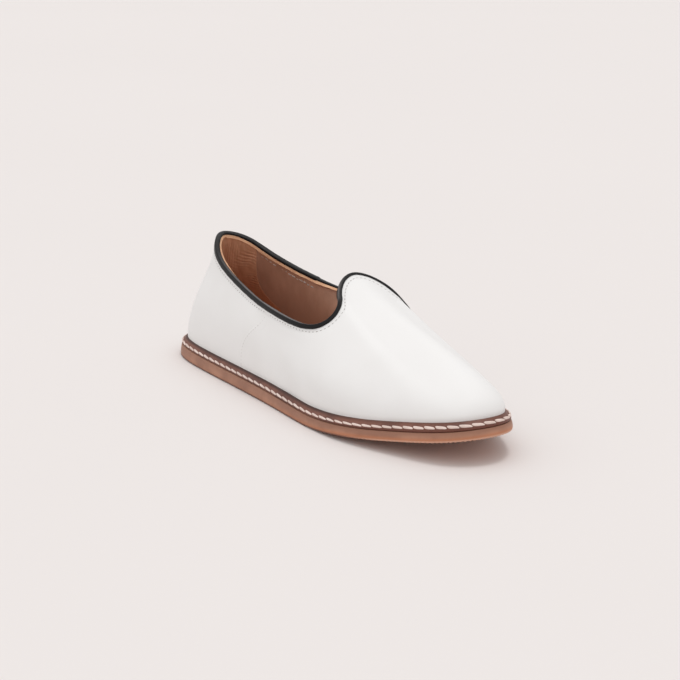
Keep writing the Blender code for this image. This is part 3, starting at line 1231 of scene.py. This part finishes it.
@dataclass
class Upper:
    """Vamp and quarter of white leather: the vamp laps over the quarter at the side seams."""

    thickness: float = 1.05
    lap: float = 0.3
    lap_least: float = 0.03
    lap_round: float = 0.9
    lap_height: Stretch = Stretch(0.0, 0.05, 0.88, 0.95)  # h where the lap stands out
    lap_gap: float = 0.02  # between the vamp and the quarter under it
    lap_width: Pair = (8.0, 12.0)  # from the vamp's edge, where it comes to lie on the lining
    under: float = 0.15  # how far the quarter goes on under the vamp, in t
    rows: int = 66
    vamp_columns: int = 260
    edge_columns: tuple[float, ...] = (  # finer steps in t at the vamp's edge
        0.0, 0.0008, 0.002, 0.0035, 0.0055, 0.008, 0.0105, 0.014, 0.019, 0.025, 0.034,
    )
    quarter_columns: int = 220
    pressed: float = 0.02  # how far the threads go into the leather
    collar_thread: StitchRow = StitchRow(
        "collar_stitches", GREY_THREAD, Solid.UPPER, pitch=2.5, length=1.7, width=0.5, height=0.16
    )
    seam_thread: StitchRow = StitchRow(
        "side_seam_stitches", WHITE_THREAD, Solid.UPPER, pitch=2.3, length=1.5, width=0.5, height=0.12
    )
    seam_heights: Pair = (0.03, 0.89)
    creases: tuple[Crease, ...] = (
        Crease((3.55, 0.80), (4.15, 0.10), 0.35, 8.0),
        Crease((4.25, 0.75), (4.75, 0.15), 0.25, 9.0),
        Crease((3.95, 0.70), (4.45, 0.15), -0.25, 7.0),
        Crease((0.6, 0.80), (2.2, 0.82), 0.35, 7.0),
        Crease((0.5, 0.50), (2.2, 0.48), -0.3, 8.0),
        Crease((12.3, 0.75), (11.8, 0.15), 0.3, 8.0),
        Crease((15.4, 0.80), (13.8, 0.82), 0.35, 7.0),
        Crease((7.03, 0.86), (7.02, 0.52), -0.45, 7.0),
        Crease((7.00, 0.80), (7.01, 0.62), -0.65, 7.5),
        Crease((8.96, 0.86), (8.98, 0.48), -0.50, 7.0),
        Crease((9.00, 0.80), (9.00, 0.58), -0.80, 7.5),
    )

    def raised(self, ribs: Array, h: Array) -> Array:
        """How far the vamp stands out: a rounded edge at the seam, let down at the welt and the collar."""
        from_edge = np.clip(LAST.past_seam(ribs) * SEAM_SCALE, 0, None)
        edge = np.sqrt(1 - (1 - np.clip(from_edge / self.lap_round, 0, 1)) ** 2)
        return self.lap_least + (self.lap - self.lap_least) * edge * self.lap_height.at(h)

    def vamp_back(self, ribs: Array, h: Array) -> Array:
        """The vamp's inner face: on the quarter near the seam, and at its full thickness further on."""
        settled = smooth_step(*self.lap_width, LAST.past_seam(ribs) * SEAM_SCALE)
        return self.lap_gap - (self.thickness + self.lap_gap) * settled

    def build(self) -> None:
        """Make the two pieces and the stitches."""
        heights = np.linspace(0.0, 1.0, self.rows)
        edge = LAST.seam_foot + np.array(self.edge_columns)
        middle = np.linspace(edge[-1], ROUND - edge[-1], self.vamp_columns)[1:-1]
        vamp_ribs = np.concatenate([edge, middle, ROUND - edge[::-1]])
        reach = LAST.seam_foot + self.under
        quarter_ribs = np.linspace(-reach, reach, self.quarter_columns)
        quarter_faces = even_face(0.0), even_face(-self.thickness)
        material = WHITE_LEATHER.make()
        for wall in (
            Wall("vamp", vamp_ribs, heights, self.raised, self.vamp_back, creases=self.creases),
            Wall("quarter", quarter_ribs, heights, *quarter_faces, creases=self.creases),
        ):
            wall.skin().build(material, Solid.UPPER)
        self.sew()

    def sew(self) -> None:
        """Lay the stitches along the collar and the side seams."""
        fine = np.linspace(0.0, ROUND, 401)
        heights = LAST.height_below_collar(fine, COLLAR_ROW + row_drop(fine))
        height = partial(np.interp, xp=fine, fp=heights, period=ROUND)
        collar = self.collar_thread.rail(
            lambda t: self.on_upper(t, height(t)), lambda t: LAST.normal(t, height(t)), 0.0, ROUND
        )
        self.collar_thread.build(collar)
        foot = LAST.seam_foot + SEAM_ROW / SEAM_SCALE
        rails = []
        for ribs in (foot, ROUND - foot):
            line, out = partial(self.seam_line, ribs), partial(self.seam_out, ribs)
            rails.append(self.seam_thread.rail(line, out, *self.seam_heights))
        self.seam_thread.build(*rails)

    def on_upper(self, t: Array, h: Array) -> Array:
        """Points on the outside at t and h, on the vamp where it laps the quarter."""
        foot = t - np.sign(np.sin(math.pi * t / TOE)) * LAST.seam_lean * h**LAST.seam_curve
        return self.laid(t, h, np.where(LAST.past_seam(foot) > 0, self.raised(foot, h), 0.0))

    def seam_line(self, ribs: float, h: Array) -> Array:
        """Points of a side seam's stitch row."""
        foot = np.full_like(h, ribs)
        return self.laid(LAST.lean(foot, h), h, self.raised(foot, h))

    def seam_out(self, ribs: float, h: Array) -> Array:
        """Directions out of the leather along a side seam."""
        return LAST.normal(LAST.lean(np.full_like(h, ribs), h), h)

    def laid(self, t: Array, h: Array, raised: Array) -> Array:
        """Points on the leather at t and h, in its creases too, with the thread pressed in a little."""
        base = LAST.surface(t, h)
        return base + (raised - creased(self.creases, base) - self.pressed)[..., None] * LAST.normal(t, h)


@dataclass(frozen=True)
class CollarFrame:
    """Directions along the collar, at places round it."""

    edge: Array
    out: Array
    rising: Array

    @classmethod
    def at(cls, t: Array) -> "CollarFrame":
        """The frame at places round the collar."""
        along = unit(LAST.collar(t + NUDGE) - LAST.collar(t - NUDGE))
        normal = LAST.normal(t, np.full_like(t, NEAR_TOP))
        out = unit(normal - along * np.sum(normal * along, axis=-1, keepdims=True))
        return cls(LAST.collar(t), out, np.cross(out, along))

    def ring(self, outside: Array | float, above: Array | float) -> Array:
        """Points at a distance outside the wall and above its edge."""
        outside, above = (np.broadcast_to(d, len(self.edge))[:, None] for d in (outside, above))
        return self.edge + outside * self.out + above * self.rising


@dataclass
class Binding:
    """Black leather strip folded over the collar; its ends overlap on the medial side."""

    wall: float = 1.8
    outer_leg: float = 2.0
    slim: Swell = Swell(0.85, 8.8, 1.6)  # how much shorter the outer leg is at the tongue
    inner_leg: float = 0.7
    face: float = 0.72  # outside face from the wall
    back: float = 0.6  # inside face from the wall
    crown: float = 0.7
    bluff: float = 0.8  # how square the fold is, where 1 is round
    gap: float = 0.06  # between the strip and the wall
    columns: int = 640
    fold_rows: int = 17
    waves: tuple[Wave, ...] = (Wave(0.04, 37), Wave(0.03, 83, 1.0))
    doubled: Stretch = Stretch(13.195, 13.225, 15.285, 15.315)
    lap_end: float = 13.21
    lap_rise: float = 0.6
    lap_stays: float = 0.25  # share of the rise that goes on behind the end
    lap_fades: float = 0.3  # step in t over which the rest goes
    # stretch round the collar where the painted highlight on the fold is at full strength; elsewhere it keeps
    # a least share
    painted_light: Stretch = Stretch(1.5, 3.2, 7.6, 8.6)
    highlight_least: float = 0.12
    highlight_angle: float = 82.0  # degrees round the fold, from the outside, where the painted highlight lies
    highlight_turn: Swell = Swell(62.0, 7.0, 0.9)
    lap_out: float = 0.3  # shares of the rise that go outwards and inwards
    lap_in: float = 0.25
    lap_hang: float = 0.35  # how much longer the inner leg is where it is doubled
    lip_rows: tuple[Triple, ...] = (  # outside the wall, above the lip, and share of painted highlight
        (0.35, -0.08, 0.1),
        (0.47, 0.0, 0.1),
        (0.66, 0.25, 0.0),
        (0.72, 0.6, 0.0),
    )
    leg_rows: tuple[Pair, ...] = ((1.0, 0.5), (1.0, 0.2), (0.8, 0.0), (0.4, -0.05))  # share inwards, above
    # share of painted highlight on the inner leg
    leg_highlight: float = 0.05
    top_gap: float = 0.04  # between the fold and the wall's edge

    def build(self) -> None:
        """Make the strip: up the outer leg, over the fold, down the inner leg and back along the wall."""
        t = even_places(LAST.collar, 0.0, ROUND, self.columns + 1)[:-1]
        at = CollarFrame.at(t)
        ripple = rippled(self.waves, self.columns)
        double = self.doubled.at(t)
        fading = np.exp(-np.clip(t - self.lap_end, 0, None) / self.lap_fades)
        thick = self.lap_rise * double * (self.lap_stays + (1 - self.lap_stays) * fading)
        # strength of the painted highlight at each place round the collar
        painted_light = self.highlight_least + (1 - self.highlight_least) * self.painted_light.at(t)
        highlight_angle = np.radians(self.highlight_angle - self.highlight_turn.at(t))
        middle = (self.face - self.wall - self.back) / 2
        half = (self.face + self.wall + self.back) / 2
        lip = self.slim.at(t) - self.outer_leg + ripple
        leg = -self.inner_leg - self.lap_hang * double + ripple
        inner = middle - half - self.lap_in * thick
        swollen = self.lap_out * thick
        rows = [(self.gap, lip, self.lip_rows[0][2])]
        rows += [(outside + swollen, lip + above, painted_highlight) for outside, above, painted_highlight in self.lip_rows]
        for angle in np.linspace(0.0, math.pi, self.fold_rows):
            outside = middle + half * math.copysign(abs(math.cos(angle)) ** self.bluff, math.cos(angle))
            above = self.crown * math.sin(angle) ** self.bluff * (1 + thick) + 0.5 * ripple
            # painted highlight round the fold, strongest at the highlight angle
            painted_highlight = painted_light * np.clip(np.cos(angle - highlight_angle), 0, None) ** 8
            rows.append((outside + swollen * math.cos(angle), above, painted_highlight))
        for share, above in self.leg_rows:
            rows.append((-self.wall + (inner + self.wall) * share, leg + above, self.leg_highlight))
        behind = -self.wall - self.gap
        rows += [(behind, leg, 0.0), (behind, self.top_gap, 0.0), (self.gap, self.top_gap, 0.0)]
        grid = np.stack([at.ring(outside, above) for outside, above, _ in rows])
        folds = np.stack([np.broadcast_to(fold, self.columns) for _, _, fold in rows])
        skin = Skin("collar_binding")
        skin.add(grid, rows_close=True, columns_close=True, fold=folds)
        skin.build(BLACK_LEATHER.make(), Solid.BINDING)


@dataclass
class Lining:
    """Brown lining of the wall, a heel piece glued over it, and the pale cut edge under the binding."""

    outer: float = -1.1
    inner: float = -1.75
    top: float = 0.995
    rows: int = 60
    columns: int = 300
    patch: float = 0.24
    patch_gap: float = 0.02  # between the lining and the heel piece
    patch_least: float = 0.01  # its thickness at the very edge
    patch_top: float = 1.36  # t of the heel piece's front edges at the collar
    patch_curve: float = 2.3  # how far forward they swing on the way down
    patch_straight: float = 0.3  # h below which they run straight down
    patch_heights: Triple = (0.02, 0.45, 0.985)  # its foot, where its rows get closer, and its top
    patch_rows: tuple[int, int] = (21, 130)  # in the two stretches
    patch_columns: int = 180
    patch_half: float = 60.0  # millimetres from its middle to an edge, about
    patch_round: float = 1.6
    wrinkles: int = 34
    fans: int = 15
    wrinkle_height: float = 0.17
    level_across: Swell = Swell(1.0, -0.9, 0.5)
    level_up: Stretch = Stretch(0.42, 0.6, 0.88, 0.96)
    fan_across: Swell = Swell(0.6, -0.32, 0.16)
    fan_up: Stretch = Stretch(0.62, 0.78, 0.9, 0.97)
    edge_columns: int = 520
    edge_back: float = -1.65
    edge_shoulder: float = -2.3
    edge_face: float = -3.1
    edge_top: float = -0.5
    edge_foot: float = -2.0
    edge_waves: tuple[Wave, ...] = (Wave(0.1, 23), Wave(0.06, 61))
    edge_proud: tuple[Stretch, ...] = (Stretch(0.3, 0.7, 2.35, 2.8, 0.3), Stretch(0.9, 2.3, 2.35, 2.8, 2.6))
    edge_wide: tuple[Stretch, ...] = (
        Stretch(14.05, 14.15, 14.45, 14.55, 0.45),
        Stretch(12.6, 13.6, ROUND, ROUND + 1, 0.35),
    )
    thread: StitchRow = StitchRow(
        "lining_stitches", LINING_THREAD, Solid.INSOLE, pitch=3.0, length=2.5, width=1.0, height=0.42,
        sink=0.15, uneven=0.6, stray=0.4, seed=5,
    )
    thread_row: float = 4.4  # from the collar's edge down to the stitches
    thread_ends: Pair = (13.22, 14.5)
    thread_thin: float = 0.45  # share by which the stitches are thinner behind
    thread_thins: Pair = (13.6, 14.0)

    def build(self) -> None:
        """Make the lining, the heel piece, the cut edge and the stitches that show inside."""
        ribs = np.linspace(0.0, ROUND, self.columns + 1)[:-1]
        heights = np.linspace(0.0, self.top, self.rows)
        wall = Wall("front_lining", ribs, heights, even_face(self.outer), even_face(self.inner), closed=True)
        wall.skin().build(FRONT_LINING.make(), Solid.INSOLE, replaces=False)
        self.heel_piece()
        self.cut_edge()
        self.sew()

    def heel_piece(self) -> None:
        """Make the heel piece, a thin sheet with rounded edges, wrinkled at its medial edge."""
        foot, closer, top = self.patch_heights
        few, many = self.patch_rows
        heights = np.append(np.linspace(foot, closer, few), np.linspace(closer, top, many)[1:])
        share, h = np.meshgrid(np.linspace(-1, 1, self.patch_columns), heights)
        t = share * (self.patch_top + self.patch_curve * (1 - np.maximum(h, self.patch_straight)) ** 3)
        base, normal = LAST.surface(t, h), LAST.normal(t, h)
        from_edge = (1 - np.abs(share)) * self.patch_half
        edge = np.sqrt(1 - (1 - np.clip(from_edge / self.patch_round, 0, 1)) ** 2)
        lift = self.patch * edge + self.wrinkled(share, h)
        behind = self.inner - self.patch_gap
        back = base + behind * normal
        front = base + (behind - self.patch_least - lift)[..., None] * normal
        skin = Skin("heel_lining")
        skin.add(np.concatenate([back, front[::-1]]), rows_close=True, end_caps=True)
        skin.build(HEEL_LINING.make(), Solid.INSOLE, replaces=False)

    def wrinkled(self, share: Array, h: Array) -> Array:
        """Height of the fine wrinkles, which lie level near the medial edge and fan out at the heel's top.

        Args:
            share: place across the heel piece, -1 at its medial edge and 1 at its lateral edge.
            h: height on the wall.

        Returns:
            The height in millimetres.
        """
        bent = 4 * share + 1.2 * np.sin(9 * share) + 0.9 * np.sin(17 * share + 31 * h)
        level = np.sin(TURN * self.wrinkles * h + bent) * (0.6 + 0.4 * np.sin(23 * h + 7 * share))
        fan = np.sin(TURN * self.fans * share + 7 * h + np.sin(19 * h))
        level_part = self.level_across.at(share) * self.level_up.at(h) * level
        return self.wrinkle_height * (level_part + self.fan_across.at(share) * self.fan_up.at(h) * fan)

    def cut_edge(self) -> None:
        """Make the pale edge strip that shows under the binding, wider behind the medial side."""
        t = even_places(LAST.collar, 0.0, ROUND, self.edge_columns + 1)[:-1]
        at = CollarFrame.at(t)
        face = self.edge_face - sum(part.at(t) for part in self.edge_proud)
        wide = sum(part.at(t) for part in self.edge_wide)
        foot = self.edge_foot - wide + rippled(self.edge_waves, self.edge_columns)
        rows = [
            at.ring(self.edge_back, self.edge_top),
            at.ring(self.edge_shoulder, self.edge_top),
            at.ring(0.5 * (self.edge_shoulder + face) - 0.06, 0.5 * (self.edge_top + foot)),
            at.ring(face, foot + 0.25),
            at.ring(face + 0.08, foot + 0.08),
            at.ring(face + 0.3, foot),
            at.ring(self.edge_back, foot),
        ]
        skin = Skin("lining_cut_edge")
        skin.add(np.stack(rows), rows_close=True, columns_close=True)
        skin.build(PALE_EDGE.make(), Solid.INSOLE, replaces=False)

    def sew(self) -> None:
        """Lay the stitches that show on the medial side of the lining, in front of the heel piece."""
        fine = np.linspace(*self.thread_ends, 101)
        heights = LAST.height_below_collar(fine, self.thread_row + row_drop(fine))
        height = partial(np.interp, xp=fine, fp=heights)
        rail = self.thread.rail(
            lambda t: LAST.surface(t, height(t)) + self.inner * LAST.normal(t, height(t)),
            lambda t: -LAST.normal(t, height(t)),
            *self.thread_ends,
            lambda t: self.thread_thin * smooth_step(*self.thread_thins, t),
        )
        self.thread.build(rail)


class Lamp(NamedTuple):
    """A broad, far light that reaches the whole floor evenly.

    towards points from the shoe to it, spread is the angle in degrees that it covers, and share is its
    light on a white sheet that faces it, where 1 is full white.
    """

    name: str
    towards: Triple
    spread: float
    share: float


@dataclass
class Studio:
    """Pale paper floor, soft light from above and all round, and the camera."""

    azimuth: float = 53.42
    elevation: float = 16.38
    roll: float = 0.48
    focal: float = 1897.3  # in pixels of a frame 680 wide
    frame_width: float = 680.0
    sensor: float = 36.0
    distance: float = 1023.6
    target: Triple = (3.0, -0.56, 33.3)
    floor_half: float = 12.0  # metres
    sky: Colour = (1.0, 0.99, 0.985, 1.0)
    sky_strength: float = 0.69
    lamps: tuple[Lamp, ...] = (
        Lamp("key", (0.09, 0.1, 1.0), 14.0, 0.2),
        Lamp("overhead", (-0.12, 0.0, 1.0), 70.0, 0.14),
        Lamp("fill", (-0.1, -0.8, 0.6), 80.0, 0.06),
    )

    def build(self) -> None:
        """Set up the stage."""
        self.floor()
        self.light()
        self.camera()

    def floor(self) -> None:
        """Lay the paper."""
        half = self.floor_half
        corners = [(-half, -half, 0), (half, -half, 0), (half, half, 0), (-half, half, 0)]
        mesh = bpy.data.meshes.new("paper_floor")
        mesh.from_pydata(corners, [], [(0, 1, 2, 3)])
        mesh.materials.append(PALE_PAPER.make())
        floor = bpy.data.objects.new("paper_floor", mesh)
        bpy.context.scene.collection.objects.link(floor)

    def light(self) -> None:
        """Set even light all round, and hang the lamps."""
        world = bpy.data.worlds.new("soft_room")
        world.use_nodes = True
        background = world.node_tree.nodes["Background"]
        background.inputs["Color"].default_value = self.sky
        background.inputs["Strength"].default_value = self.sky_strength
        bpy.context.scene.world = world
        for name, towards, spread, share in self.lamps:
            lamp = bpy.data.lights.new(name, "SUN")
            lamp.angle = math.radians(spread)
            lamp.energy = share * math.pi
            lamp.color = self.sky[:3]
            light = bpy.data.objects.new(name, lamp)
            light.location = Vector(towards) * 2
            light.rotation_euler = Vector(towards).to_track_quat("Z", "Y").to_euler()
            bpy.context.scene.collection.objects.link(light)

    def camera(self) -> None:
        """Point the camera at the shoe, with its small roll."""
        a, e, r = (math.radians(angle) for angle in (self.azimuth, self.elevation, self.roll))
        back = Vector((math.sin(a) * math.cos(e), -math.cos(a) * math.cos(e), math.sin(e)))
        level = Vector((math.cos(a), math.sin(a), 0.0))
        upright = back.cross(level)
        right = level * math.cos(r) + upright * math.sin(r)
        up = upright * math.cos(r) - level * math.sin(r)
        lens = bpy.data.cameras.new("camera")
        lens.sensor_width = self.sensor
        lens.lens = self.focal / self.frame_width * self.sensor
        camera = bpy.data.objects.new("camera", lens)
        place = (Vector(self.target) + back * self.distance) * MM
        camera.matrix_world = Matrix.Translation(place) @ Matrix((right, up, back)).transposed().to_4x4()
        bpy.context.scene.collection.objects.link(camera)
        bpy.context.scene.camera = camera
        bpy.context.scene.view_settings.view_transform = "Standard"


def main() -> None:
    """Build the shoe and its stage."""
    logging.basicConfig(level=logging.INFO, format="%(message)s")
    for part in (Outsole(), Welt(), Insole(), Upper(), Binding(), Lining(), Studio()):
        log.info("building %s", type(part).__name__)
        part.build()


if __name__ == "__main__":
    main()
